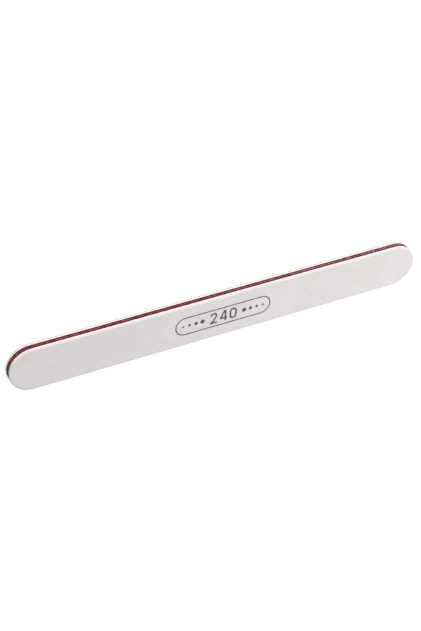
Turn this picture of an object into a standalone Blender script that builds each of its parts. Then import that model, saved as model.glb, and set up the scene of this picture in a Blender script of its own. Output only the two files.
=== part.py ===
"""A cushioned nail file: a die-cut laminate that lies flat with its printed face up.

Lengths are in metres. The long way of the file runs along X, its width along Y and its
thickness along Z. The origin is the middle of the footprint, on the surface that carries
the file. A rigid core board lies in the middle. On each of its faces, from the core
outwards, are an adhesive film, a foam cushion, a second adhesive film, and an abrasive
sheet, which is a backing paper with a grit coat on it.

The die rolls the edge of each abrasive sheet down into the foam as it cuts, so the sheets
droop along the rim, the foam is thinner there, and the core stays flat.
"""

import math

import bmesh
import bpy

# The outline that the die cuts: straight long sides between two half-round ends.
FILE_LENGTH = 0.178
FILE_WIDTH = 0.019

# The thickness of each layer, away from the rolled edge.
CORE_THICKNESS = 0.0018
CORE_FILM_THICKNESS = 0.00008
FOAM_THICKNESS = 0.0009
SHEET_FILM_THICKNESS = 0.00008
BACKING_THICKNESS = 0.00013
GRIT_THICKNESS = 0.00011

# The rolled edge: how far in from the rim it starts, and how far the sheet has dropped at the rim.
ROLL_WIDTH = 0.0009
ROLL_DROP = 0.00022

# The rim of each layer. The films are squeezed back from the cut, the cut foam springs back
# hollow at its middle, and the core's corners are broken by the die.
FILM_SETBACK = 0.0001
FOAM_HOLLOW = 0.00008
CORE_EDGE_ROUND = 0.00006

# The clearance that keeps two bonded faces from sharing a plane.
BOND_GAP = 0.000005

# How finely curves are divided, and the turn of the surface that shows as an edge.
END_STEPS = 28
ROLL_STEPS = 3
FOAM_RIM_STEPS = 4
CORE_EDGE_STEPS = 2
SHARP_ANGLE = math.radians(30)

# Each material's colour (linear red, green and blue), roughness and metallic value.
MATERIALS = {
    "red_polystyrene": ((0.172, 0.016, 0.028), 0.45, 0.0),
    "acrylic_adhesive": ((0.420, 0.330, 0.300), 0.35, 0.0),
    "white_eva_foam": ((0.870, 0.855, 0.830), 0.85, 0.0),
    "latex_paper": ((0.760, 0.745, 0.715), 0.80, 0.0),
    "white_oxide_grit": ((0.690, 0.680, 0.670), 0.90, 0.0),
}


def clear_scene():
    """Removes every object that is in the file."""
    for old in list(bpy.data.objects):
        bpy.data.objects.remove(old)


def make_material(name):
    """A Principled material with the colour, roughness and metallic value of the list above."""
    colour, roughness, metallic = MATERIALS[name]
    material = bpy.data.materials.new(name)
    material.use_nodes = True
    shader = material.node_tree.nodes["Principled BSDF"]
    shader.inputs["Base Color"].default_value = (*colour, 1.0)
    shader.inputs["Roughness"].default_value = roughness
    shader.inputs["Metallic"].default_value = metallic
    return material


def outline(inset, height):
    """Points of the file's outline, moved in by inset, anticlockwise at this height."""
    radius = FILE_WIDTH / 2 - inset
    end_centre = FILE_LENGTH / 2 - FILE_WIDTH / 2
    points = []
    for side in (1, -1):
        for step in range(END_STEPS + 1):
            angle = math.pi * (step / END_STEPS - 1 / 2)
            x = side * (end_centre + radius * math.cos(angle))
            y = side * radius * math.sin(angle)
            points.append((x, y, height))
    return points


def plate_from_rings(name, material, rings):
    """A closed plate through rings of (inset, height), from one face's middle, round the rim, to the other's."""
    bm = bmesh.new()
    loops = [[bm.verts.new(point) for point in outline(*ring)] for ring in rings]
    for lower, upper in zip(loops, loops[1:]):
        for near in range(len(lower)):
            far = (near + 1) % len(lower)
            bm.faces.new((lower[near], lower[far], upper[far], upper[near]))
    bm.faces.new(reversed(loops[0]))
    bm.faces.new(loops[-1])
    bmesh.ops.recalc_face_normals(bm, faces=bm.faces)
    mesh = bpy.data.meshes.new(name)
    bm.to_mesh(mesh)
    bm.free()
    mesh.materials.append(material)
    mesh.shade_smooth()
    mesh.set_sharp_from_angle(angle=SHARP_ANGLE)
    return mesh


def roll_drop(inset):
    """How far a rolled sheet lies below its flat part, at this inset from the rim."""
    return ROLL_DROP * (1 - inset / ROLL_WIDTH) ** 2


def rolled_face_rings(height, rim_inset):
    """Rings of a face that is flat at this height and rolled down at the rim, from its rim inwards."""
    steps = [ROLL_WIDTH * step / ROLL_STEPS for step in range(ROLL_STEPS + 1)]
    insets = [rim_inset] + [inset for inset in steps if inset > rim_inset]
    return [(inset, height - roll_drop(inset)) for inset in insets]


def core_board_mesh(material):
    """The rigid board, with its middle at height zero and the corners of its rim broken by a small round."""
    lower_corner = []
    upper_corner = []
    for step in range(CORE_EDGE_STEPS + 1):
        turn = math.pi / 2 * step / CORE_EDGE_STEPS
        inset = CORE_EDGE_ROUND * (1 - math.sin(turn))
        height = CORE_THICKNESS / 2 - CORE_EDGE_ROUND * (1 - math.cos(turn))
        lower_corner.append((inset, -height))
        upper_corner.append((inset, height))
    return plate_from_rings("core_board", material, lower_corner + upper_corner[::-1])


def core_film_mesh(material):
    """The flat adhesive film between the core and a foam cushion."""
    rings = [(FILM_SETBACK, 0), (FILM_SETBACK, CORE_FILM_THICKNESS)]
    return plate_from_rings("core_film", material, rings)


def foam_cushion_mesh(material):
    """A foam cushion: flat towards the core, pressed down at the rim of its outer face, hollow along the cut."""
    rim_height = FOAM_THICKNESS - ROLL_DROP
    cut = [(0, 0)]
    for step in range(1, FOAM_RIM_STEPS):
        height_share = step / FOAM_RIM_STEPS
        hollow_share = 1 - (2 * height_share - 1) ** 2
        cut.append((FOAM_HOLLOW * hollow_share, rim_height * height_share))
    return plate_from_rings("foam_cushion", material, cut + rolled_face_rings(FOAM_THICKNESS, 0))


def rolled_sheet_mesh(name, material, thickness, rim_inset):
    """A thin sheet of even thickness that follows the foam's outer face down at the rim."""
    inner = rolled_face_rings(0, rim_inset)
    outer = rolled_face_rings(thickness, rim_inset)
    return plate_from_rings(name, material, inner[::-1] + outer)


def layers_from_the_core_out(materials):
    """The name, thickness and mesh of each layer on one side of the core; both sides share the meshes."""
    adhesive = materials["acrylic_adhesive"]
    core_film = core_film_mesh(adhesive)
    cushion = foam_cushion_mesh(materials["white_eva_foam"])
    sheet_film = rolled_sheet_mesh("sheet_film", adhesive, SHEET_FILM_THICKNESS, FILM_SETBACK)
    backing = rolled_sheet_mesh("backing_paper", materials["latex_paper"], BACKING_THICKNESS, 0)
    grit = rolled_sheet_mesh("grit_coat", materials["white_oxide_grit"], GRIT_THICKNESS, 0)
    return (
        ("core_film", CORE_FILM_THICKNESS, core_film),
        ("foam_cushion", FOAM_THICKNESS, cushion),
        ("sheet_film", SHEET_FILM_THICKNESS, sheet_film),
        ("backing_paper", BACKING_THICKNESS, backing),
        ("grit_coat", GRIT_THICKNESS, grit),
    )


def place(name, mesh, height, side, parent):
    """Puts a layer at this height from the core's middle, on the core's upper (1) or lower (-1) side."""
    layer = bpy.data.objects.new(name, mesh)
    bpy.context.scene.collection.objects.link(layer)
    layer.parent = parent
    layer.location = (0, 0, side * height)
    layer.rotation_euler = (0 if side > 0 else math.pi, 0, 0)


def build():
    """Builds the core board, then the stack of layers on each side of it, each bonded to the one before."""
    clear_scene()
    materials = {name: make_material(name) for name in MATERIALS}
    layers = layers_from_the_core_out(materials)
    half_thickness = CORE_THICKNESS / 2 + sum(BOND_GAP + thickness for _, thickness, _ in layers)

    core_middle = bpy.data.objects.new("core_middle", None)
    bpy.context.scene.collection.objects.link(core_middle)
    core_middle.location = (0, 0, half_thickness)
    place("core_board", core_board_mesh(materials["red_polystyrene"]), 0, 1, core_middle)

    for side, side_name in ((1, "upper"), (-1, "lower")):
        height = CORE_THICKNESS / 2
        for name, thickness, mesh in layers:
            height += BOND_GAP
            place(f"{side_name}_{name}", mesh, height, side, core_middle)
            height += thickness


build()
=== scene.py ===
import logging
import math
from abc import ABC, abstractmethod
from collections.abc import Callable
from dataclasses import dataclass, field
from enum import Enum
from typing import NamedTuple

import bmesh
import bpy
import numpy as np
from mathutils import Matrix, Vector, noise


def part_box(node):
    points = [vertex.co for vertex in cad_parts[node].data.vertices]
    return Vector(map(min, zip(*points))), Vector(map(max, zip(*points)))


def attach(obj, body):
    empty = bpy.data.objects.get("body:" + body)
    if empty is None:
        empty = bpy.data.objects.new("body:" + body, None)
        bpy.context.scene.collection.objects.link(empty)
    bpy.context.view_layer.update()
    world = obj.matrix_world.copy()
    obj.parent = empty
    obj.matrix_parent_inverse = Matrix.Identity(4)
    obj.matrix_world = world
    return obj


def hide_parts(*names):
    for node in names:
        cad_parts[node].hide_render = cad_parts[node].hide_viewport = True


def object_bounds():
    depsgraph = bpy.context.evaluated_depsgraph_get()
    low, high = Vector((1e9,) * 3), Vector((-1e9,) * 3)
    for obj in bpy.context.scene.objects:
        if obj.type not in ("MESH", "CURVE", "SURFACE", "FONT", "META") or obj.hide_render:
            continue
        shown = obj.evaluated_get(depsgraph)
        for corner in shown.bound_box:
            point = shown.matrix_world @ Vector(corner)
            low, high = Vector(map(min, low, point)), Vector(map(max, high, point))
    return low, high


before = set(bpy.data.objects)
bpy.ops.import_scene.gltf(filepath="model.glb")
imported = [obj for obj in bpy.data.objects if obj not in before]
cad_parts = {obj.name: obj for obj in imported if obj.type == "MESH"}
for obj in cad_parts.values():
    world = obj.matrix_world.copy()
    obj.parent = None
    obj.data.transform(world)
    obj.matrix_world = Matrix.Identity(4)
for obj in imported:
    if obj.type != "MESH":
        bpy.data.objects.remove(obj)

# The file lies flat with its printed face up, its length along X. Lengths are in metres.
MM = 0.001
CAD_LOW, CAD_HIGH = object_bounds()
MIDDLE_PLANE = (CAD_LOW.z + CAD_HIGH.z) / 2
HALF_THICKNESS = (CAD_HIGH.z - CAD_LOW.z) / 2
BODY = "root"

# The sockets that a Mix node uses for colours.
MIX_FACTOR, MIX_A, MIX_B, MIX_RESULT = 0, 6, 7, 2

# What makes a Map Range node ease in and out.
EASED = {"interpolation_type": "SMOOTHSTEP"}

# How steeply the bowl of a foam cell falls away from its walls.
BOWL_STEEPNESS = 1.6

# Shares of a die line's spacing. A loop whose opposite points are closer than the first lies on
# the middle line, and points closer than the second are one.
CLOSED_SHARE, MERGED_SHARE = 1 / 2, 1 / 1000

log = logging.getLogger("nail_file")

Colour = tuple[float, float, float, float]
Distance = float | np.ndarray
Point = tuple[float, float]
Outline = list[Point]
Material = bpy.types.Material
Socket = bpy.types.NodeSocket
Tree = bpy.types.NodeTree
SocketKey = int | str
Values = dict[SocketKey, object]

# A tint is an sRGB colour as "#RRGGBB" or the colour that a node gives, and a layer is a tint
# with the share of what lies below that it covers.
Tint = str | Socket
Layer = tuple[Tint, Socket]


class Side(Enum):
    """The two working sides of the file, and which way each looks along Z."""

    UPPER = 1
    LOWER = -1

    def node(self, layer: str) -> str:
        """The name that a layer has on this side."""
        return f"{self.name.lower()}_{layer}"

    def height(self, from_middle: Distance) -> Distance:
        """Turns a distance from the middle plane into a height in the frame."""
        return MIDDLE_PLANE + self.value * from_middle


def linear(hex_colour: str) -> Colour:
    """Turns an sRGB colour into the linear one that a shader takes.

    Args:
        hex_colour: The colour as "#RRGGBB".

    Returns:
        Red, green, blue and alpha, each from 0 to 1.
    """
    channels = [int(hex_colour[at : at + 2], 16) / 255 for at in (1, 3, 5)]
    red, green, blue = (c / 12.92 if c <= 0.04045 else ((c + 0.055) / 1.055) ** 2.4 for c in channels)
    return red, green, blue, 1.0


def add_node(
    tree: Tree,
    kind: str,
    values: Values | None = None,
    links: dict[SocketKey, Socket] | None = None,
    output: SocketKey = 0,
    **settings: object,
) -> Socket:
    """Adds one node to a tree with its settings and links.

    Args:
        tree: The tree that takes the node.
        kind: Blender's name for the kind of node.
        values: What to set on the node's own input sockets.
        links: Which output feeds which of the node's input sockets.
        output: Which of the node's outputs is wanted.
        **settings: The node's properties.

    Returns:
        That output of the new node.
    """
    node = tree.nodes.new(kind)
    for name, value in settings.items():
        setattr(node, name, value)
    for socket, value in (values or {}).items():
        node.inputs[socket].default_value = value
    for socket, source in (links or {}).items():
        tree.links.new(source, node.inputs[socket])
    return node.outputs[output]


def distance_from(tree: Tree, place: Socket, axis: str, origin: float) -> Socket:
    """Adds nodes that give how far a place lies from a plane.

    Args:
        tree: The node tree.
        place: The place on the piece, in metres.
        axis: The axis that the plane stands square to.
        origin: Where the plane meets that axis.

    Returns:
        The distance, in metres.
    """
    along = add_node(tree, "ShaderNodeSeparateXYZ", links={"Vector": place}, output=axis)
    offset = add_node(tree, "ShaderNodeMath", {1: origin}, {0: along}, operation="SUBTRACT")
    return add_node(tree, "ShaderNodeMath", links={0: offset}, operation="ABSOLUTE")


def levels(node: str) -> tuple[float, float]:
    """Measures where a CAD node lies between the middle plane and a working face.

    Args:
        node: The node's name.

    Returns:
        The distances from the middle plane to its nearest and furthest point.
    """
    low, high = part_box(node)
    near, far = sorted(abs(corner.z - MIDDLE_PLANE) for corner in (low, high))
    return near, far


def at_height(flat: np.ndarray, height: Distance) -> np.ndarray:
    """Gives points that lie flat their height."""
    return np.column_stack([flat, np.broadcast_to(height, len(flat))])


class Ramp(NamedTuple):
    """How a reading becomes a share: from start to end it goes from low to high."""

    start: float
    end: float
    low: float = 0.0
    high: float = 1.0

    def values(self) -> Values:
        """What a Map Range node takes for it."""
        return {"From Min": self.start, "From Max": self.end, "To Min": self.low, "To Max": self.high}


class Grain(NamedTuple):
    """An uneven pattern: the size of its largest forms, and how much finer ones add to them."""

    size: float
    detail: float
    roughness: float

    def values(self) -> Values:
        """What a Noise Texture node takes for it."""
        return {"Scale": 1 / self.size, "Detail": self.detail, "Roughness": self.roughness}


class Relief(NamedTuple):
    """How strongly a form turns the light, how deep it is, and whether it is sunk in."""

    strength: float
    depth: float
    sunken: bool = False


class Pattern(NamedTuple):
    """What a clean surface shows: layers on a ground, the form of its relief, its roughness."""

    ground: Tint
    layers: list[Layer]
    form: Socket | None = None
    roughness: Socket | None = None


@dataclass(frozen=True)
class RolledEdge:
    """How far the die rolls the rim of an abrasive sheet down into the foam."""

    drop: float
    width: float = 0.9 * MM

    @classmethod
    def of_sheets(cls) -> "RolledEdge":
        """The roll that the CAD sheets have: the grit coat's rim lies below the paper's face."""
        return cls(levels("upper_backing_paper")[1] - levels("upper_grit_coat")[0])

    def fall(self, inset: Distance) -> Distance:
        """How far the sheet lies below its flat part, at this inset from the rim."""
        return self.drop * np.clip(1 - inset / self.width, 0, 1) ** 2


@dataclass(frozen=True)
class DustAndShade:
    """A darkening over the rim round one tip: partly dust from the core, partly painted shade.

    It is thickest next to the core and fades both along the rim and towards the faces, and none
    lies below its lowest height. Its heights are measured from the middle plane.
    """

    colour: str
    strength: float
    middle: Point
    reach: float
    solid_height: float
    clean_height: float
    lowest: float = -HALF_THICKNESS

    def cover(self, tree: Tree, place: Socket) -> Socket:
        """Adds nodes that give where the darkening lies.

        Args:
            tree: The node tree.
            place: The place on the piece, in metres.

        Returns:
            The share of the surface that it covers.
        """
        fading = Ramp(0.0, self.reach, self.strength, 0.0).values()
        thinning = Ramp(self.solid_height, self.clean_height, 1.0, 0.0).values()
        centre, lowest = {1: (*self.middle, MIDDLE_PLANE)}, {1: MIDDLE_PLANE + self.lowest}
        away = add_node(tree, "ShaderNodeVectorMath", centre, {0: place}, "Value", operation="DISTANCE")
        height = distance_from(tree, place, "Z", MIDDLE_PLANE)
        level = add_node(tree, "ShaderNodeSeparateXYZ", links={"Vector": place}, output="Z")
        cover = add_node(tree, "ShaderNodeMapRange", fading, {"Value": away})
        thinned = add_node(tree, "ShaderNodeMapRange", thinning, {"Value": height})
        reached = add_node(tree, "ShaderNodeMath", lowest, {0: level}, operation="GREATER_THAN")
        for share in (thinned, reached):
            cover = add_node(tree, "ShaderNodeMath", links={0: cover, 1: share}, operation="MULTIPLY")
        return cover


# Dust and painted shade round the left tip: a thin veil of dust and shade on the whole rim, the
# core's red dragged over the glue lines and darkening them, and painted shade from just below
# the core up to the printed face.
TIP_DUST_AND_SHADE = (
    DustAndShade("#8C6A6C", 0.14, (-85.5 * MM, 7.2 * MM), 8.0 * MM, 0.9 * MM, 4.0 * MM),
    DustAndShade("#5A1822", 0.8, (-86.2 * MM, 6.6 * MM), 7.5 * MM, 0.97 * MM, 1.12 * MM),
    DustAndShade("#35292A", 1.0, (-89.0 * MM, -1.0 * MM), 7.4 * MM, 1.5 * MM, 2.12 * MM, lowest=-1.1 * MM),
)


@dataclass(frozen=True, kw_only=True)
class Finish(ABC):
    """What every finish shares: its colour, how its surface answers light, and its relief."""

    name: str
    colour: str
    roughness: float
    ior: float
    specular: float
    relief: Relief | None = None
    dust_and_shade: tuple[DustAndShade, ...] = ()

    def build(self) -> Material:
        """Makes the material: its paint, and its relief.

        Returns:
            The material.
        """
        material = bpy.data.materials.new(self.name)
        material.use_nodes = True
        tree = material.node_tree
        shader = tree.nodes["Principled BSDF"].inputs
        shader["Base Color"].default_value = linear(self.colour)
        shader["Roughness"].default_value = self.roughness
        shader["IOR"].default_value = self.ior
        shader["Specular IOR Level"].default_value = self.specular
        place = add_node(tree, "ShaderNodeTexCoord", output="Object")
        pattern = self.pattern(tree, place)
        tree.links.new(self.paint(tree, place, pattern), shader["Base Color"])
        if pattern.roughness is not None:
            tree.links.new(pattern.roughness, shader["Roughness"])
        if self.relief is not None:
            depth = {"Strength": self.relief.strength, "Distance": self.relief.depth}
            form = {"Height": pattern.form}
            bump = add_node(tree, "ShaderNodeBump", depth, form, invert=self.relief.sunken)
            tree.links.new(bump, shader["Normal"])
        return material

    def paint(self, tree: Tree, place: Socket, pattern: Pattern) -> Socket:
        """Lays the pattern's layers and then the dust and painted shade on its ground.

        Args:
            tree: The node tree.
            place: The place on the piece, in metres.
            pattern: The clean surface.

        Returns:
            The colour that shows.
        """
        shown = pattern.ground
        # The dust and painted shade round the tip go over the clean surface.
        dust_and_shade = [(darkening.colour, darkening.cover(tree, place)) for darkening in self.dust_and_shade]
        for tint, cover in pattern.layers + dust_and_shade:
            tints = {MIX_A: shown, MIX_B: tint}
            values = {key: linear(value) for key, value in tints.items() if isinstance(value, str)}
            links = {key: value for key, value in tints.items() if key not in values}
            links[MIX_FACTOR] = cover
            shown = add_node(tree, "ShaderNodeMix", values, links, MIX_RESULT, data_type="RGBA")
        return shown

    @abstractmethod
    def pattern(self, tree: Tree, place: Socket) -> Pattern:
        """Draws the clean surface, as it looks at each place on the piece."""


@dataclass(frozen=True, kw_only=True)
class OxideGrit(Finish):
    """White aluminium oxide in resin under a stearate coat, strewn electrostatically.

    The stearate fills between the grains, so the face is dry and chalky with a fine tooth.
    The rim of the rolled edge carries a painted highlight nearly all round,
    and painted shade in grey along the front side, towards one end.
    The grains of a 240 grit are 0.06 mm across. They are drawn five times coarser, because
    finer ones don't show.
    """

    name: str = "white_oxide_grit"
    colour: str = "#DDDAD9"
    roughness: float = 0.86
    ior: float = 1.52
    specular: float = 0.25
    relief: Relief = Relief(0.6, 0.02 * MM)
    dust_and_shade: tuple[DustAndShade, ...] = TIP_DUST_AND_SHADE
    valley_colour: str = "#CFCCCB"
    grains: Grain = Grain(0.3 * MM, 3.0, 0.6)
    grain_tone: Ramp = Ramp(0.3, 0.6)
    clouds: Grain = Grain(9.0 * MM, 4.0, 0.55)
    cloud_tone: Ramp = Ramp(0.35, 0.65, 0.55, 1.0)
    speck_colour: str = "#B5B1AF"
    speck_spacing: float = 1.1 * MM
    speck_tone: Ramp = Ramp(0.08, 0.13, 0.8, 0.0)
    roll: RolledEdge
    # The rim of the rolled edge: a painted highlight towards the light, painted shade in grey on the front
    # side.
    painted_rim_height: float = 0.17 * MM
    rim_shade_colour: str = "#CECBCA"
    rim_highlight_colour: str = "#E8E5E4"
    toward_light: tuple[float, float, float] = (0.1, 1.0, 0.0)
    shade_to_highlight: Ramp = Ramp(-17.5 * MM, -1.5 * MM)

    def pattern(self, tree: Tree, place: Socket) -> Pattern:
        """Draws the grains, and the painted highlight and shade on the rim over them.

        Args:
            tree: The node tree.
            place: The place on the piece, in metres.

        Returns:
            A matte, faintly clouded white with sparse darker grains.
        """
        at_place = {"Vector": place}
        grains = add_node(tree, "ShaderNodeTexNoise", self.grains.values(), at_place)
        clouds = add_node(tree, "ShaderNodeTexNoise", self.clouds.values(), at_place)
        specks = add_node(tree, "ShaderNodeTexVoronoi", {"Scale": 1 / self.speck_spacing}, at_place)
        grain = add_node(tree, "ShaderNodeMapRange", self.grain_tone.values(), {"Value": grains})
        cloud = add_node(tree, "ShaderNodeMapRange", self.cloud_tone.values(), {"Value": clouds})
        speck = add_node(tree, "ShaderNodeMapRange", self.speck_tone.values(), {"Value": specks})
        tone = add_node(tree, "ShaderNodeMath", links={0: grain, 1: cloud}, operation="MULTIPLY")
        layers = [(self.colour, tone), (self.speck_colour, speck), self.painted_rim_light(tree, place)]
        return Pattern(self.valley_colour, layers, form=grains)

    def painted_rim_light(self, tree: Tree, place: Socket) -> Layer:
        """Draws the painted light on the rim of the face, where the roll has taken it down.

        Args:
            tree: The node tree.
            place: The place on the piece, in metres.

        Returns:
            A painted highlight or, along the front side, painted shade in grey. It fades up the roll and
            just below the face.
        """
        rim_level = HALF_THICKNESS - self.roll.drop
        dropped = Ramp(rim_level, rim_level + self.painted_rim_height, 1.0, 0.0).values()
        on_face = Ramp(rim_level - self.relief.depth, rim_level).values()
        tones = {MIX_A: linear(self.rim_shade_colour), MIX_B: linear(self.rim_highlight_colour)}
        height, toward_light = {"Value": distance_from(tree, place, "Z", MIDDLE_PLANE)}, {1: self.toward_light}
        up_roll = add_node(tree, "ShaderNodeMapRange", dropped, height)
        above_cut = add_node(tree, "ShaderNodeMapRange", on_face, height)
        cover = add_node(tree, "ShaderNodeMath", links={0: up_roll, 1: above_cut}, operation="MULTIPLY")
        # Painted shade on the side away from the light turns into a painted highlight towards it.
        across = add_node(tree, "ShaderNodeVectorMath", toward_light, {0: place}, "Value", operation="DOT_PRODUCT")
        highlight_share = add_node(tree, "ShaderNodeMapRange", self.shade_to_highlight.values(), {"Value": across})
        rim = add_node(tree, "ShaderNodeMix", tones, {MIX_FACTOR: highlight_share}, MIX_RESULT, data_type="RGBA")
        return rim, cover


@dataclass(frozen=True, kw_only=True)
class LatexPaper(Finish):
    """White backing paper, filled with latex and calendered: its cut edge is soft and fibrous.

    Its fibres are about 0.03 mm wide. They are drawn wider, because finer ones don't show.
    """

    name: str = "latex_filled_paper"
    colour: str = "#E0DAD5"
    roughness: float = 0.8
    ior: float = 1.47
    specular: float = 0.3
    relief: Relief = Relief(0.4, 0.02 * MM)
    dust_and_shade: tuple[DustAndShade, ...] = TIP_DUST_AND_SHADE
    shade_colour: str = "#CBC3BD"
    fibre_length: float = 1.2 * MM
    fibre_width: float = 0.08 * MM
    # The place that this takes is measured in fibres.
    fibres: Grain = Grain(1.0, 4.0, 0.7)

    def pattern(self, tree: Tree, place: Socket) -> Pattern:
        """Draws the fibres.

        Args:
            tree: The node tree.
            place: The place on the piece, in metres.

        Returns:
            A warm white with fibres that run with the sheet.
        """
        in_fibres = {"Scale": (1 / self.fibre_length, 1 / self.fibre_length, 1 / self.fibre_width)}
        along_sheet = add_node(tree, "ShaderNodeMapping", in_fibres, {"Vector": place})
        fibres = add_node(tree, "ShaderNodeTexNoise", self.fibres.values(), {"Vector": along_sheet})
        return Pattern(self.shade_colour, [(self.colour, fibres)], form=fibres)


@dataclass(frozen=True, kw_only=True)
class CutFoam(Finish):
    """White EVA foam, sliced by the die: thin cell walls round shallow open bowls, with painted shade in the
    bowls.

    The cells are 0.15 mm across. They are drawn twice as wide, as the mesh of the rim is.
    The blade drags red dust from the core into the foam, which stains it pink next to the core.
    """

    name: str = "white_eva_foam"
    colour: str = "#FEFBF9"
    roughness: float = 0.78
    ior: float = 1.49
    specular: float = 0.2
    relief: Relief = Relief(0.5, 0.0375 * MM, sunken=True)
    dust_and_shade: tuple[DustAndShade, ...] = TIP_DUST_AND_SHADE
    # Painted shade in the bowls of the cut cells.
    bowl_shade_colour: str = "#F5EFED"
    cell_size: float = 0.3 * MM
    bowl_tone: Ramp = Ramp(0.02, 0.25)
    stain_colour: str = "#EFBEC1"
    stain_tone: Ramp = Ramp(0.95 * MM, 1.4 * MM, 1.0, 0.0)

    def pattern(self, tree: Tree, place: Socket) -> Pattern:
        """Draws the cells, the painted shade in their bowls, and the stain.

        Args:
            tree: The node tree.
            place: The place on the piece, in metres.

        Returns:
            A soft white with painted shade in the bowls, pink next to the core.
        """
        scale, at_place = {"Scale": 1 / self.cell_size}, {"Vector": place}
        cells = add_node(tree, "ShaderNodeTexVoronoi", scale, at_place, feature="DISTANCE_TO_EDGE")
        # The bowls' depth gives both the bump and the painted shade in them.
        bowl = add_node(tree, "ShaderNodeMapRange", self.bowl_tone.values(), {"Value": cells})
        height = distance_from(tree, place, "Z", MIDDLE_PLANE)
        stain = add_node(tree, "ShaderNodeMapRange", self.stain_tone.values(), {"Value": height}, **EASED)
        layers = [(self.bowl_shade_colour, bowl), (self.stain_colour, stain)]
        return Pattern(self.colour, layers, form=bowl)


@dataclass(frozen=True, kw_only=True)
class DieCutPolystyrene(Finish):
    """Dark red high-impact polystyrene board, cut with a steel rule.

    The blade drags fine upright lines down the cut. Near the board's faces the blade has rubbed
    the cut smooth and dark. Between them the board has torn, and the stress leaves it paler. White
    dust from the grit lodges in the tears, more of it towards the end that was cut last, among
    small dark pits. Round the two ends the whole cut is darkened nearly black with painted shade,
    centred a little off the middle, so one end has more of it.
    """

    name: str = "red_polystyrene"
    colour: str = "#3F0C18"
    roughness: float = 0.55
    ior: float = 1.59
    specular: float = 0.08
    relief: Relief = Relief(0.5, 0.022 * MM)
    line_spacing: float = 0.22 * MM
    line_length: float = 3.0 * MM
    # The place that this takes is measured in lines.
    lines: Grain = Grain(1.0, 2.0, 0.6)
    line_tone: Ramp = Ramp(0.3, 0.7, 0.4, 1.0)
    torn_colour: str = "#B0505F"
    torn_depth: float = 0.58 * MM
    torn_waver: float = 0.8 * MM
    patches: Grain = Grain(1.0 * MM, 5.0, 0.65)
    patch_tone: Ramp = Ramp(0.42, 0.58, 0.25, 1.0)
    dust_colour: str = "#A98C8E"
    dust: Grain = Grain(0.3 * MM, 2.0, 0.6)
    dust_tone: Ramp = Ramp(0.45, 0.56)
    dust_spread: Ramp = Ramp(-10.0 * MM, 75.0 * MM, 0.4, 2.6)
    pit_colour: str = "#1E060B"
    pit_spacing: float = 2.1 * MM
    pit_tone: Ramp = Ramp(0.12, 0.2, 1.0, 0.0)
    # Painted shade: round both tips the cut is darkened nearly black, centred a little off the middle.
    tip_shade_colour: str = "#1C0D0E"
    tip_shade_centre: float = -2.6 * MM
    tip_shade_ramp: Ramp = Ramp(84.3 * MM, 86.5 * MM)

    def pattern(self, tree: Tree, place: Socket) -> Pattern:
        """Draws the cut: torn, then dusty, pitted, and darkened with painted shade at the tips.

        Args:
            tree: The node tree.
            place: The place on the piece, in metres.

        Returns:
            A dark red with a paler, streaked, patchy and dusty band along the middle of the cut.
        """
        in_lines = {"Scale": (1 / self.line_spacing, 1 / self.line_spacing, 1 / self.line_length)}
        upright = add_node(tree, "ShaderNodeMapping", in_lines, {"Vector": place})
        lines = add_node(tree, "ShaderNodeTexNoise", self.lines.values(), {"Vector": upright})
        torn = self.tearing(tree, place, lines)
        pits = add_node(tree, "ShaderNodeTexVoronoi", {"Scale": 1 / self.pit_spacing}, {"Vector": place})
        pitted = add_node(tree, "ShaderNodeMapRange", self.pit_tone.values(), {"Value": pits})
        # Painted shade at the tips, by distance along the file from its centre.
        along = distance_from(tree, place, "X", self.tip_shade_centre)
        tip_shade = add_node(tree, "ShaderNodeMapRange", self.tip_shade_ramp.values(), {"Value": along}, **EASED)
        layers = [
            (self.torn_colour, torn),
            (self.dust_colour, self.dusting(tree, place, torn)),
            (self.pit_colour, pitted),
            (self.tip_shade_colour, tip_shade),
        ]
        return Pattern(self.colour, layers, form=lines)

    def tearing(self, tree: Tree, place: Socket, lines: Socket) -> Socket:
        """Where the board has torn: in patches along the middle of the cut, streaked by the lines.

        Args:
            tree: The node tree.
            place: The place on the piece, in metres.
            lines: The blade's lines.

        Returns:
            The share of the cut that is torn.
        """
        waver, mean_shift = {1: -self.torn_waver}, self.torn_waver / 2
        band = Ramp(-mean_shift, self.torn_depth - mean_shift, 1.0, 0.0).values()
        patches = add_node(tree, "ShaderNodeTexNoise", self.patches.values(), {"Vector": place})
        height = distance_from(tree, place, "Z", MIDDLE_PLANE)
        wavered = add_node(tree, "ShaderNodeMath", waver, {0: patches, 2: height}, operation="MULTIPLY_ADD")
        torn = add_node(tree, "ShaderNodeMapRange", band, {"Value": wavered}, **EASED)
        for tone, reading in ((self.patch_tone, patches), (self.line_tone, lines)):
            share = add_node(tree, "ShaderNodeMapRange", tone.values(), {"Value": reading})
            torn = add_node(tree, "ShaderNodeMath", links={0: torn, 1: share}, operation="MULTIPLY")
        return torn

    def dusting(self, tree: Tree, place: Socket, torn: Socket) -> Socket:
        """Where white dust lodges: in specks in the torn patches, more of them towards one end.

        Args:
            tree: The node tree.
            place: The place on the piece, in metres.
            torn: The share of the cut that is torn.

        Returns:
            The share of the cut that dust covers.
        """
        dust = add_node(tree, "ShaderNodeTexNoise", self.dust.values(), {"Vector": place})
        specks = add_node(tree, "ShaderNodeMapRange", self.dust_tone.values(), {"Value": dust})
        along = add_node(tree, "ShaderNodeSeparateXYZ", links={"Vector": place}, output="X")
        spread = add_node(tree, "ShaderNodeMapRange", self.dust_spread.values(), {"Value": along})
        lodged = add_node(tree, "ShaderNodeMath", links={0: torn, 1: spread}, operation="MULTIPLY")
        both = {0: specks, 1: lodged}
        return add_node(tree, "ShaderNodeMath", links=both, operation="MULTIPLY", use_clamp=True)


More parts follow.
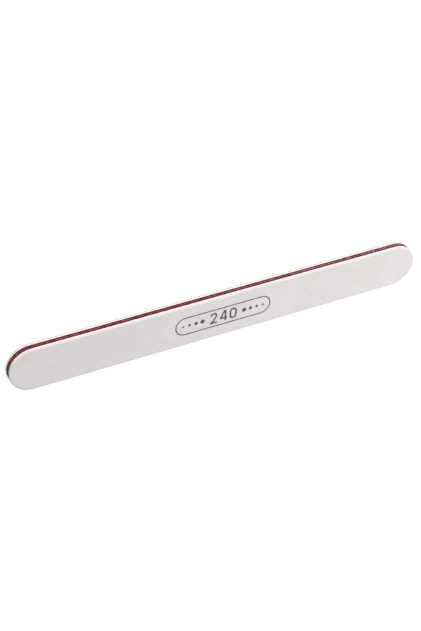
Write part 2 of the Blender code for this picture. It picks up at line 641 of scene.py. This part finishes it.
@dataclass(frozen=True, kw_only=True)
class AcrylicAdhesive(Finish):
    """Clear acrylic transfer adhesive: its tacky cut edge holds red and white dust from the die."""

    name: str = "acrylic_adhesive"
    colour: str = "#B8696F"
    roughness: float = 0.35
    ior: float = 1.48
    specular: float = 0.5
    dust_and_shade: tuple[DustAndShade, ...] = TIP_DUST_AND_SHADE
    dust_colour: str = "#7E323E"
    dust: Grain = Grain(0.5 * MM, 4.0, 0.7)
    dulling: Ramp = Ramp(0.3, 0.7, 0.35, 0.8)

    def pattern(self, tree: Tree, place: Socket) -> Pattern:
        """Draws the dust.

        Args:
            tree: The node tree.
            place: The place on the piece, in metres.

        Returns:
            A glossy line of glue, dirty and dulled where dust sticks to it.
        """
        dust = add_node(tree, "ShaderNodeTexNoise", self.dust.values(), {"Vector": place})
        dulled = add_node(tree, "ShaderNodeMapRange", self.dulling.values(), {"Value": dust})
        return Pattern(self.colour, [(self.dust_colour, dust)], roughness=dulled)


@dataclass(frozen=True, kw_only=True)
class PadPrintInk(Finish):
    """Dark grey pad-printing ink: semi-matt, thin, and broken where a valley took none."""

    name: str = "pad_print_ink"
    colour: str = "#333335"
    roughness: float = 0.55
    ior: float = 1.5
    specular: float = 0.4
    relief: Relief = Relief(0.5, 0.015 * MM)
    bare_colour: str = "#8F8E8D"
    grains: Grain = Grain(0.25 * MM, 2.0, 0.6)
    bare_tone: Ramp = Ramp(0.33, 0.4, 1.0, 0.0)

    def pattern(self, tree: Tree, place: Socket) -> Pattern:
        """Draws the grains that show through.

        Args:
            tree: The node tree.
            place: The place on the piece, in metres.

        Returns:
            A dark grey with small pale breaks.
        """
        grains = add_node(tree, "ShaderNodeTexNoise", self.grains.values(), {"Vector": place})
        bare = add_node(tree, "ShaderNodeMapRange", self.bare_tone.values(), {"Value": grains})
        return Pattern(self.colour, [(self.bare_colour, bare)], form=grains)


@dataclass(frozen=True)
class Palette:
    """The materials that the pieces share."""

    grit: Material
    paper: Material
    foam: Material
    core: Material
    adhesive: Material
    ink: Material


@dataclass(frozen=True)
class DieLine:
    """The outline that the die cuts: straight long sides between two half-round ends.

    Its samples run anticlockwise from the +X tip and are mirrored in the X axis, so sample k
    lies opposite sample count - k.
    """

    reach: float
    radius: float
    spacing: float

    @classmethod
    def of_core(cls, spacing: float) -> "DieLine":
        """The line that the CAD core's box gives, sampled at this spacing."""
        _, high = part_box("core_board")
        return cls(high.x - high.y, high.y, spacing)

    def loop(self, inset: Distance = 0.0) -> np.ndarray:
        """Works out the samples' points.

        Args:
            inset: How far they lie in from the outline.

        Returns:
            The points, one a row.
        """
        square = math.pi / 2
        quarter = round(square * self.radius / self.spacing)
        straight = round(2 * self.reach / self.spacing)
        turn = np.linspace(0, square, quarter + 1)
        far_turn = np.linspace(square, 3 * square, 2 * quarter + 1)
        last_turn = turn[:-1] - square
        slide = np.linspace(self.reach, -self.reach, straight + 1)[1:-1]
        angle = np.concatenate([turn, 0 * slide + square, far_turn, 0 * slide + 3 * square, last_turn])
        near, far, last = 0 * turn + self.reach, 0 * far_turn - self.reach, 0 * last_turn + self.reach
        centre = np.concatenate([near, slide, far, -slide, last])
        out = self.radius - inset
        return np.stack([centre + out * np.cos(angle), out * np.sin(angle)], axis=1)


def sample(points: np.ndarray, size: float, draw: Callable[[Vector], float] = noise.noise) -> np.ndarray:
    """Draws a noise at each point, in units of this size."""
    return np.array([draw(Vector(place)) for place in points / size])


def cell_bowl(place: Vector) -> float:
    """How deep in a foam cell's bowl a place is, from 0 on the wall to 1."""
    nearest, second = noise.voronoi(place)[0][:2]
    return min(1.0, BOWL_STEEPNESS * (second - nearest))


def new_object(name: str, data: bpy.types.ID) -> bpy.types.Object:
    """Puts a new object into the scene.

    Args:
        name: The object's name.
        data: What it shows.

    Returns:
        The object.
    """
    added = bpy.data.objects.new(name, data)
    bpy.context.scene.collection.objects.link(added)
    return added


def new_piece(name: str, mesh: bpy.types.Mesh, material: Material) -> bpy.types.Object:
    """Puts a mesh into the scene as a piece of the file.

    Args:
        name: The piece's name.
        mesh: Its mesh, in place in the frame.
        material: Its finish.

    Returns:
        The piece, which rides on the file's body.
    """
    mesh.materials.append(material)
    piece = new_object(name, mesh)
    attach(piece, BODY)
    log.info("%s: %d faces in %s", name, len(mesh.polygons), material.name)
    return piece


@dataclass
class Plate:
    """A closed plate inside the die line, made of loops.

    The loops run from inside its inner face, round its rim, to inside its outer face.
    """

    line: DieLine
    side: Side
    loops: list[np.ndarray] = field(default_factory=list)

    def add_loop(self, inset: Distance, from_middle: Distance) -> None:
        """Adds the next loop, this far in from the die line and from the file's middle plane."""
        self.loops.append(at_height(self.line.loop(inset), self.side.height(from_middle)))

    def mesh(self, name: str, sharp_angle: float = math.radians(35)) -> bpy.types.Mesh:
        """Skins the loops and closes both faces.

        Args:
            name: The mesh's name.
            sharp_angle: The turn of the surface that shows as an edge.

        Returns:
            The closed mesh.
        """
        bm = bmesh.new()
        loops = [[bm.verts.new(point) for point in loop] for loop in self.loops]
        count = len(loops[0])
        for lower, upper in zip(loops, loops[1:]):
            for near in range(count):
                far = (near + 1) % count
                bm.faces.new((lower[near], lower[far], upper[far], upper[near]))
        for loop in (loops[0], loops[-1]):
            self.close(bm, loop)
        bmesh.ops.recalc_face_normals(bm, faces=bm.faces)
        mesh = bpy.data.meshes.new(name)
        bm.to_mesh(mesh)
        bm.free()
        mesh.shade_smooth()
        mesh.set_sharp_from_angle(angle=sharp_angle)
        return mesh

    def close(self, bm: bmesh.types.BMesh, loop: list[bmesh.types.BMVert]) -> None:
        """Closes a face at its last loop.

        Args:
            bm: The mesh being built.
            loop: The loop: on the middle line its doubled points are merged, and elsewhere
                rungs join its mirrored samples.
        """
        half, quarter = len(loop) // 2, len(loop) // 4
        if (loop[quarter].co - loop[-quarter].co).length < self.line.spacing * CLOSED_SHARE:
            bmesh.ops.remove_doubles(bm, verts=loop, dist=self.line.spacing * MERGED_SHARE)
            return
        bm.faces.new((loop[0], loop[1], loop[-1]))
        for rung in range(1, half - 1):
            bm.faces.new((loop[rung], loop[rung + 1], loop[-rung - 1], loop[-rung]))
        bm.faces.new((loop[half - 1], loop[half], loop[half + 1]))


@dataclass(frozen=True)
class CoreBoard:
    """The rigid board in the middle, with the marks of the die along its rim."""

    palette: Palette
    spacing: float = 0.18 * MM
    rows: int = 12
    edge_round: float = 0.06 * MM
    groove_spacing: float = 0.45 * MM
    groove_depth: float = 0.025 * MM
    # The share of its height that a place has in the grooves' noise, which draws them out upright.
    groove_height_share: float = 0.15
    tear_size: float = 1.3 * MM
    tear_depth: float = 0.03 * MM

    def build(self) -> None:
        """Models the board in place of its CAD solid."""
        line = DieLine.of_core(self.spacing)
        low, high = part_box("core_board")
        half = (high.z - low.z) / 2
        plate = Plate(line, Side.UPPER)
        for row in range(self.rows + 1):
            height = half * (2 * row / self.rows - 1)
            plate.add_loop(self.rim_inset(at_height(line.loop(), height), height, half), height)
        board = new_piece("core_board_cut", plate.mesh("core_board_cut"), self.palette.core)
        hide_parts("core_board")

    def rim_inset(self, rim: np.ndarray, height: float, half: float) -> np.ndarray:
        """Works out how far the cut lies inside the die line along one row.

        Args:
            rim: The row's points on the die line.
            height: The row's height from the middle of the board.
            half: Half the board's thickness.

        Returns:
            The inset of each point.
        """
        upright = rim * (1, 1, self.groove_height_share)
        grooves = 0.5 + 0.5 * sample(upright, self.groove_spacing)
        tears = np.clip(sample(rim, self.tear_size), 0, 1)
        torn_share = 1 - (height / half) ** 2
        corner = max(0.0, abs(height) - (half - self.edge_round))
        rounding = self.edge_round - math.sqrt(max(0.0, self.edge_round**2 - corner**2))
        return rounding + self.groove_depth * grooves + self.tear_depth * torn_share * tears


@dataclass(frozen=True)
class AbrasiveSide:
    """What is bonded to one face of the core: films, a foam cushion, and an abrasive sheet."""

    side: Side
    palette: Palette
    roll: RolledEdge
    foam_spacing: float = 0.11 * MM
    foam_rows: int = 8
    foam_roll_steps: int = 3
    foam_hollow: float = 0.08 * MM
    cell_size: float = 0.3 * MM
    cell_depth: float = 0.045 * MM
    sheet_roll_steps: int = 4
    paper_spacing: float = 0.2 * MM
    paper_rows: int = 3
    paper_fray: float = 0.015 * MM
    grit_spacing: float = 0.22 * MM
    grain_size: float = 0.45 * MM
    grain_height: float = 0.016 * MM
    crumble_size: float = 0.35 * MM
    crumble_depth: float = 0.03 * MM

    def build(self) -> None:
        """Dresses the films, and models the cushion and the sheet."""
        for film in ("core_film", "sheet_film"):
            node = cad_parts[self.side.node(film)]
            node.material_slots[0].material = self.palette.adhesive
            log.info("%s: dressed in %s", node.name, self.palette.adhesive.name)
        self.cushion()
        self.paper()
        self.grit()

    def cushion(self) -> None:
        """Models the foam cushion, with its cut cells along the rim."""
        node = self.side.node("foam_cushion")
        inner, outer = levels(node)
        line = DieLine.of_core(self.foam_spacing)
        plate = Plate(line, self.side)
        rim_outer = outer - self.roll.drop
        for row in range(self.foam_rows + 1):
            share = row / self.foam_rows
            height = inner + share * (rim_outer - inner)
            bowls = sample(at_height(line.loop(), self.side.height(height)), self.cell_size, cell_bowl)
            hollow = self.foam_hollow * (1 - (2 * share - 1) ** 2)
            plate.add_loop(hollow + self.cell_depth * bowls, height)
        for inset in np.linspace(0, self.roll.width, self.foam_roll_steps + 1)[1:]:
            plate.add_loop(inset, outer - self.roll.fall(inset))
        name = self.side.node("cut_foam")
        cushion = new_piece(name, plate.mesh(name), self.palette.foam)
        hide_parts(node)

    def paper(self) -> None:
        """Models the backing paper, frayed a little at its cut edge."""
        node = self.side.node("backing_paper")
        near, outer = levels(node)
        inner = near + self.roll.drop
        line = DieLine.of_core(self.paper_spacing)
        plate = Plate(line, self.side)
        rolled = np.linspace(0, self.roll.width, self.sheet_roll_steps + 1)
        for inset in rolled[:0:-1]:
            plate.add_loop(inset, inner - self.roll.fall(inset))
        for from_middle in np.linspace(inner, outer, self.paper_rows + 1):
            fray = 0.5 + 0.5 * sample(at_height(line.loop(), from_middle), self.crumble_size)
            plate.add_loop(self.paper_fray * fray, from_middle - self.roll.drop)
        for inset in rolled[1:]:
            plate.add_loop(inset, outer - self.roll.fall(inset))
        name = self.side.node("paper_sheet")
        paper = new_piece(name, plate.mesh(name), self.palette.paper)
        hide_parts(node)

    def grit(self) -> None:
        """Models the grit coat: grains all over its face, and a rim crumbled by the die."""
        node = self.side.node("grit_coat")
        near, outer = levels(node)
        inner = near + self.roll.drop
        line = DieLine.of_core(self.grit_spacing)
        plate = Plate(line, self.side)
        for inset in np.linspace(self.roll.width, 0, self.sheet_roll_steps + 1)[:-1]:
            plate.add_loop(inset, inner - self.roll.fall(inset))
        crumble = self.crumble_depth * np.clip(sample(at_height(line.loop(), 0.0), self.crumble_size), 0, 1)
        plate.add_loop(crumble / 2, inner - self.roll.drop)
        rings = round(line.radius / self.grit_spacing)
        for ring in range(rings + 1):
            inset = line.radius * ring / rings + (crumble if ring == 0 else 0)
            plate.add_loop(inset, outer - self.roll.fall(inset) - self.valleys(line.loop(inset)))
        name = self.side.node("grit_face")
        coat = new_piece(name, plate.mesh(name), self.palette.grit)
        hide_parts(node)

    def valleys(self, flat: np.ndarray) -> np.ndarray:
        """How far the surface between the grains lies below their tips, at places on the face."""
        places = at_height(flat, self.side.value * self.grain_size)
        return self.grain_height * (1 - sample(places, self.grain_size))


@dataclass(frozen=True)
class GritMark:
    """The grit number printed on the upper face, in a pill-shaped frame between rows of dots.

    Outlines are in millimetres. The number is in plain engineering numerals.
    """

    palette: Palette
    frame_length: float = 42.0
    frame_height: float = 8.6
    line_width: float = 0.46
    digit_height: float = 5.2
    digit_width: float = 3.1
    digit_stroke: float = 0.72
    digit_gap: float = 1.2
    dot_radii: tuple[float, ...] = (0.95, 0.75, 0.58, 0.42)
    dot_pitch: float = 2.8
    first_dot: float = 9.2
    ink_height: float = 0.015 * MM
    ink_sink: float = 0.03 * MM
    round_steps: int = 24

    def build(self) -> None:
        """Prints the frame, the dots and the number, whose 0 is a ring like the frame."""
        pitch = self.digit_width + self.digit_gap
        zero = self.ring(pitch, self.digit_height, self.digit_width, self.digit_stroke, 90)
        dots = [
            self.pill(end * (self.first_dot + place * self.dot_pitch), 0, radius)
            for end in (1, -1)
            for place, radius in enumerate(self.dot_radii)
        ]
        self.ink("printed_frame", self.ring(0, self.frame_length, self.frame_height, self.line_width))
        self.ink("printed_dots", dots)
        self.ink("printed_number", self.two(-pitch) + self.four(0) + zero)

    def arc(self, centre: Point, radius: float, start: float, end: float) -> Outline:
        """Points along an arc, between two angles in degrees."""
        angles = np.radians(np.linspace(start, end, self.round_steps + 1))
        return [(centre[0] + radius * math.cos(a), centre[1] + radius * math.sin(a)) for a in angles]

    def pill(self, middle: float, reach: float, radius: float, turn: float = 0.0) -> Outline:
        """The outline of a bar with round ends.

        Args:
            middle: Where the bar's middle is along the file.
            reach: How far each round end's centre is from it.
            radius: The radius of the ends.
            turn: The bar's direction, in degrees from the file's length.

        Returns:
            The outline.
        """
        across = math.cos(math.radians(turn)) * reach
        up = math.sin(math.radians(turn)) * reach
        far = self.arc((middle + across, up), radius, turn - 90, turn + 90)
        near = self.arc((middle - across, -up), radius, turn + 90, turn + 270)
        return far + near

    def ring(
        self, middle: float, length: float, width: float, stroke: float, turn: float = 0.0
    ) -> list[Outline]:
        """The outlines of a line along the edge of a pill of this length and width."""
        reach = length / 2 - width / 2
        return [self.pill(middle, reach, edge, turn) for edge in (width / 2, width / 2 - stroke)]

    def two(self, middle: float) -> list[Outline]:
        """The outline of a 2: a bowl, a slant that leaves it at a tangent, and a foot.

        Args:
            middle: Where the digit's middle is along the file.

        Returns:
            The outline.
        """
        hook_angle, leaving_angle = 172, -38
        left, right = middle - self.digit_width / 2, middle + self.digit_width / 2
        foot = -self.digit_height / 2
        radius = self.digit_width / 2
        bowl = (middle, self.digit_height / 2 - radius)
        outer = self.arc(bowl, radius, hook_angle, leaving_angle)
        inner = self.arc(bowl, radius - self.digit_stroke, leaving_angle, hook_angle)
        slope = 1 / math.tan(math.radians(-leaving_angle))
        foot_top = foot + self.digit_stroke
        slant_end = (outer[-1][0] - (outer[-1][1] - foot_top) / slope, foot_top)
        slant_left = (left, inner[0][1] - (inner[0][0] - left) * slope)
        return [outer + [slant_end, (right, foot_top), (right, foot), (left, foot), slant_left] + inner]

    def four(self, middle: float) -> list[Outline]:
        """The outlines of a 4: a stem, a bar and a slant, and the hole between them.

        Args:
            middle: Where the digit's middle is along the file.

        Returns:
            The outlines.
        """
        stem_share, bar_share, lean_share = 0.78, 0.22, 0.12
        left, right = middle - self.digit_width / 2, middle + self.digit_width / 2
        foot, top = -self.digit_height / 2, self.digit_height / 2
        stem_right = left + stem_share * self.digit_width + self.digit_stroke / 2
        stem_left = stem_right - self.digit_stroke
        bar = foot + bar_share * self.digit_height
        bar_top = bar + self.digit_stroke
        tip = stem_left - lean_share * self.digit_width
        right_side = [(stem_right, foot), (stem_right, bar), (right, bar), (right, bar_top)]
        upper_side = [(stem_right, bar_top), (stem_right, top), (tip, top), (left, bar_top)]
        lower_side = [(left, bar), (stem_left, bar), (stem_left, foot)]
        slope = (top - bar_top) / (tip - left)
        hole_left = left + self.digit_stroke * math.hypot(1, slope) / slope
        hole_top = bar_top + slope * (stem_left - hole_left)
        hole = [(hole_left, bar_top), (stem_left, bar_top), (stem_left, hole_top)]
        return [right_side + upper_side + lower_side, hole]

    def ink(self, name: str, outlines: list[Outline]) -> None:
        """Fills outlines with ink that stands a little proud of the face.

        Args:
            name: The piece's name.
            outlines: Closed outlines; one inside another is a hole.
        """
        drawing = bpy.data.curves.new(name, "CURVE")
        drawing.dimensions = "2D"
        drawing.fill_mode = "BOTH"
        for outline in outlines:
            spline = drawing.splines.new("POLY")
            spline.points.add(len(outline) - 1)
            spline.points.foreach_set("co", [value for x, y in outline for value in (x, y, 0, 1)])
            spline.use_cyclic_u = True
        holder = new_object(name, drawing)
        bpy.context.view_layer.update()
        mesh = bpy.data.meshes.new_from_object(holder.evaluated_get(bpy.context.evaluated_depsgraph_get()))
        bpy.data.objects.remove(holder)
        bm = bmesh.new()
        bm.from_mesh(mesh)
        bmesh.ops.scale(bm, verts=bm.verts, vec=(MM, MM, MM))
        bmesh.ops.translate(bm, verts=bm.verts, vec=(0, 0, CAD_HIGH.z + self.ink_height))
        # The fill has slivers where an outline's points lie in line with those of its hole.
        inner = [edge for edge in bm.edges if not edge.is_boundary]
        bmesh.ops.beautify_fill(bm, faces=bm.faces, edges=inner)
        down = Vector((0, 0, -self.ink_height - self.ink_sink))
        sunk = {vert: bm.verts.new(vert.co + down) for vert in bm.verts[:]}
        rim = [tuple(edge.verts) for edge in bm.edges if edge.is_boundary]
        for face in bm.faces[:]:
            bm.faces.new([sunk[vert] for vert in face.verts])
        for start, end in rim:
            bm.faces.new((start, end, sunk[end], sunk[start]))
        bmesh.ops.recalc_face_normals(bm, faces=bm.faces)
        bm.to_mesh(mesh)
        bm.free()
        mesh.name = name
        new_piece(name, mesh, self.palette.ink)


@dataclass(frozen=True)
class Lamp:
    """A soft round lamp that looks at the middle of the file."""

    name: str
    place: tuple[float, float, float]
    size: float
    power: float

    def hang(self) -> None:
        """Puts the lamp in its place."""
        lamp = bpy.data.lights.new(self.name, "AREA")
        lamp.shape = "DISK"
        lamp.size = self.size
        lamp.energy = self.power
        holder = new_object(self.name, lamp)
        holder.location = self.place
        holder.rotation_euler = Vector(self.place).to_track_quat("Z", "Y").to_euler()


@dataclass(frozen=True)
class Studio:
    """A pale floor and plain soft light: from above, from behind, and a little from the left."""

    floor_size: float = 6.0
    floor_colour: str = "#D9D9D9"
    floor_lift: float = 0.92
    floor_shade: float = 0.1
    fill_strength: float = 0.42
    lamps: tuple[Lamp, ...] = (
        Lamp("overhead", (0.3, -0.15, 0.35), 0.3, 1.17),
        Lamp("rear", (0.0, 1.2, 0.55), 0.7, 11.5),
        Lamp("left", (-2.4, 0.9, 0.75), 0.9, 10.5),
    )

    def build(self) -> None:
        """Sets up the floor, the air and the lamps."""
        self.floor()
        self.air()
        for lamp in self.lamps:
            lamp.hang()

    def part_rays(self, tree: Tree, lighting: Socket, shown: Socket) -> None:
        """Gives the floor or the air one shader that lights the file and another to be seen.

        Args:
            tree: The tree of the floor or the air.
            lighting: The shader that the file meets.
            shown: The shader that the camera sees, straight, mirrored or through something.
        """
        seen = add_node(tree, "ShaderNodeLightPath", output="Is Camera Ray")
        rays = seen.node.outputs
        for ray in ("Is Glossy Ray", "Is Transmission Ray"):
            seen = add_node(tree, "ShaderNodeMath", links={0: seen, 1: rays[ray]}, operation="MAXIMUM")
        look = add_node(tree, "ShaderNodeMixShader", links={0: seen, 1: lighting, 2: shown})
        tree.links.new(look, tree.get_output_node("ALL").inputs["Surface"])

    def floor(self) -> None:
        """Lays the floor, which looks white where it is lit and keeps the file's shadow."""
        mesh = bpy.data.meshes.new("floor")
        half = self.floor_size / 2
        corners = [(-half, -half, 0), (half, -half, 0), (half, half, 0), (-half, half, 0)]
        mesh.from_pydata(corners, [], [(0, 1, 2, 3)])
        material = bpy.data.materials.new("white_sweep")
        material.use_nodes = True
        tree = material.node_tree
        tree.nodes.remove(tree.nodes["Principled BSDF"])
        shade = (self.floor_shade, self.floor_shade, self.floor_shade, 1.0)
        lit = add_node(tree, "ShaderNodeBsdfDiffuse", {"Color": linear(self.floor_colour)})
        lift = add_node(tree, "ShaderNodeEmission", {"Strength": self.floor_lift})
        kept = add_node(tree, "ShaderNodeBsdfDiffuse", {"Color": shade})
        self.part_rays(tree, lit, add_node(tree, "ShaderNodeAddShader", links={0: lift, 1: kept}))
        mesh.materials.append(material)
        floor = new_object("floor", mesh)

    def air(self) -> None:
        """Fills the studio with even light, in front of a white backdrop."""
        world = bpy.data.worlds.new("studio_air")
        bpy.context.scene.world = world
        world.use_nodes = True
        tree = world.node_tree
        tree.nodes.remove(tree.nodes["Background"])
        white = (1, 1, 1, 1)
        fill = add_node(tree, "ShaderNodeBackground", {"Color": white, "Strength": self.fill_strength})
        self.part_rays(tree, fill, add_node(tree, "ShaderNodeBackground", {"Color": white, "Strength": 1.0}))


@dataclass(frozen=True)
class PhotoCamera:
    """The photograph's camera, which looks down on the file's rear long edge."""

    azimuth: float = math.radians(210.718)
    elevation: float = math.radians(43.277)
    roll: float = math.radians(141.943)
    distance: float = 553.2 * MM
    target: tuple[float, float, float] = (-3.39 * MM, -2.123 * MM, 0.0)
    lens: float = 79.81
    sensor: float = 36.0

    def build(self) -> None:
        """Puts the camera in its place."""
        level, rise = math.cos(self.elevation), math.sin(self.elevation)
        back = Vector((math.sin(self.azimuth) * level, -math.cos(self.azimuth) * level, rise))
        across = Vector((0, 0, 1)).cross(back).normalized()
        upward = back.cross(across)
        right = math.cos(self.roll) * across + math.sin(self.roll) * upward
        top = math.cos(self.roll) * upward - math.sin(self.roll) * across
        turn = Matrix((right, top, back)).transposed().to_4x4()
        camera = bpy.data.cameras.new("camera")
        camera.lens = self.lens
        camera.sensor_width = self.sensor
        holder = new_object("camera", camera)
        holder.matrix_world = Matrix.Translation(Vector(self.target) + self.distance * back) @ turn
        bpy.context.scene.camera = holder


def main() -> None:
    """Builds the dressed file and its studio."""
    logging.basicConfig(level=logging.INFO, format="%(name)s %(message)s")
    bpy.context.scene.view_settings.view_transform = "Standard"
    PhotoCamera().build()
    Studio().build()
    roll = RolledEdge.of_sheets()
    palette = Palette(
        grit=OxideGrit(roll=roll).build(),
        paper=LatexPaper().build(),
        foam=CutFoam().build(),
        core=DieCutPolystyrene().build(),
        adhesive=AcrylicAdhesive().build(),
        ink=PadPrintInk().build(),
    )
    CoreBoard(palette).build()
    for side in Side:
        AbrasiveSide(side, palette, roll).build()
    GritMark(palette).build()


if __name__ == "__main__":
    main()
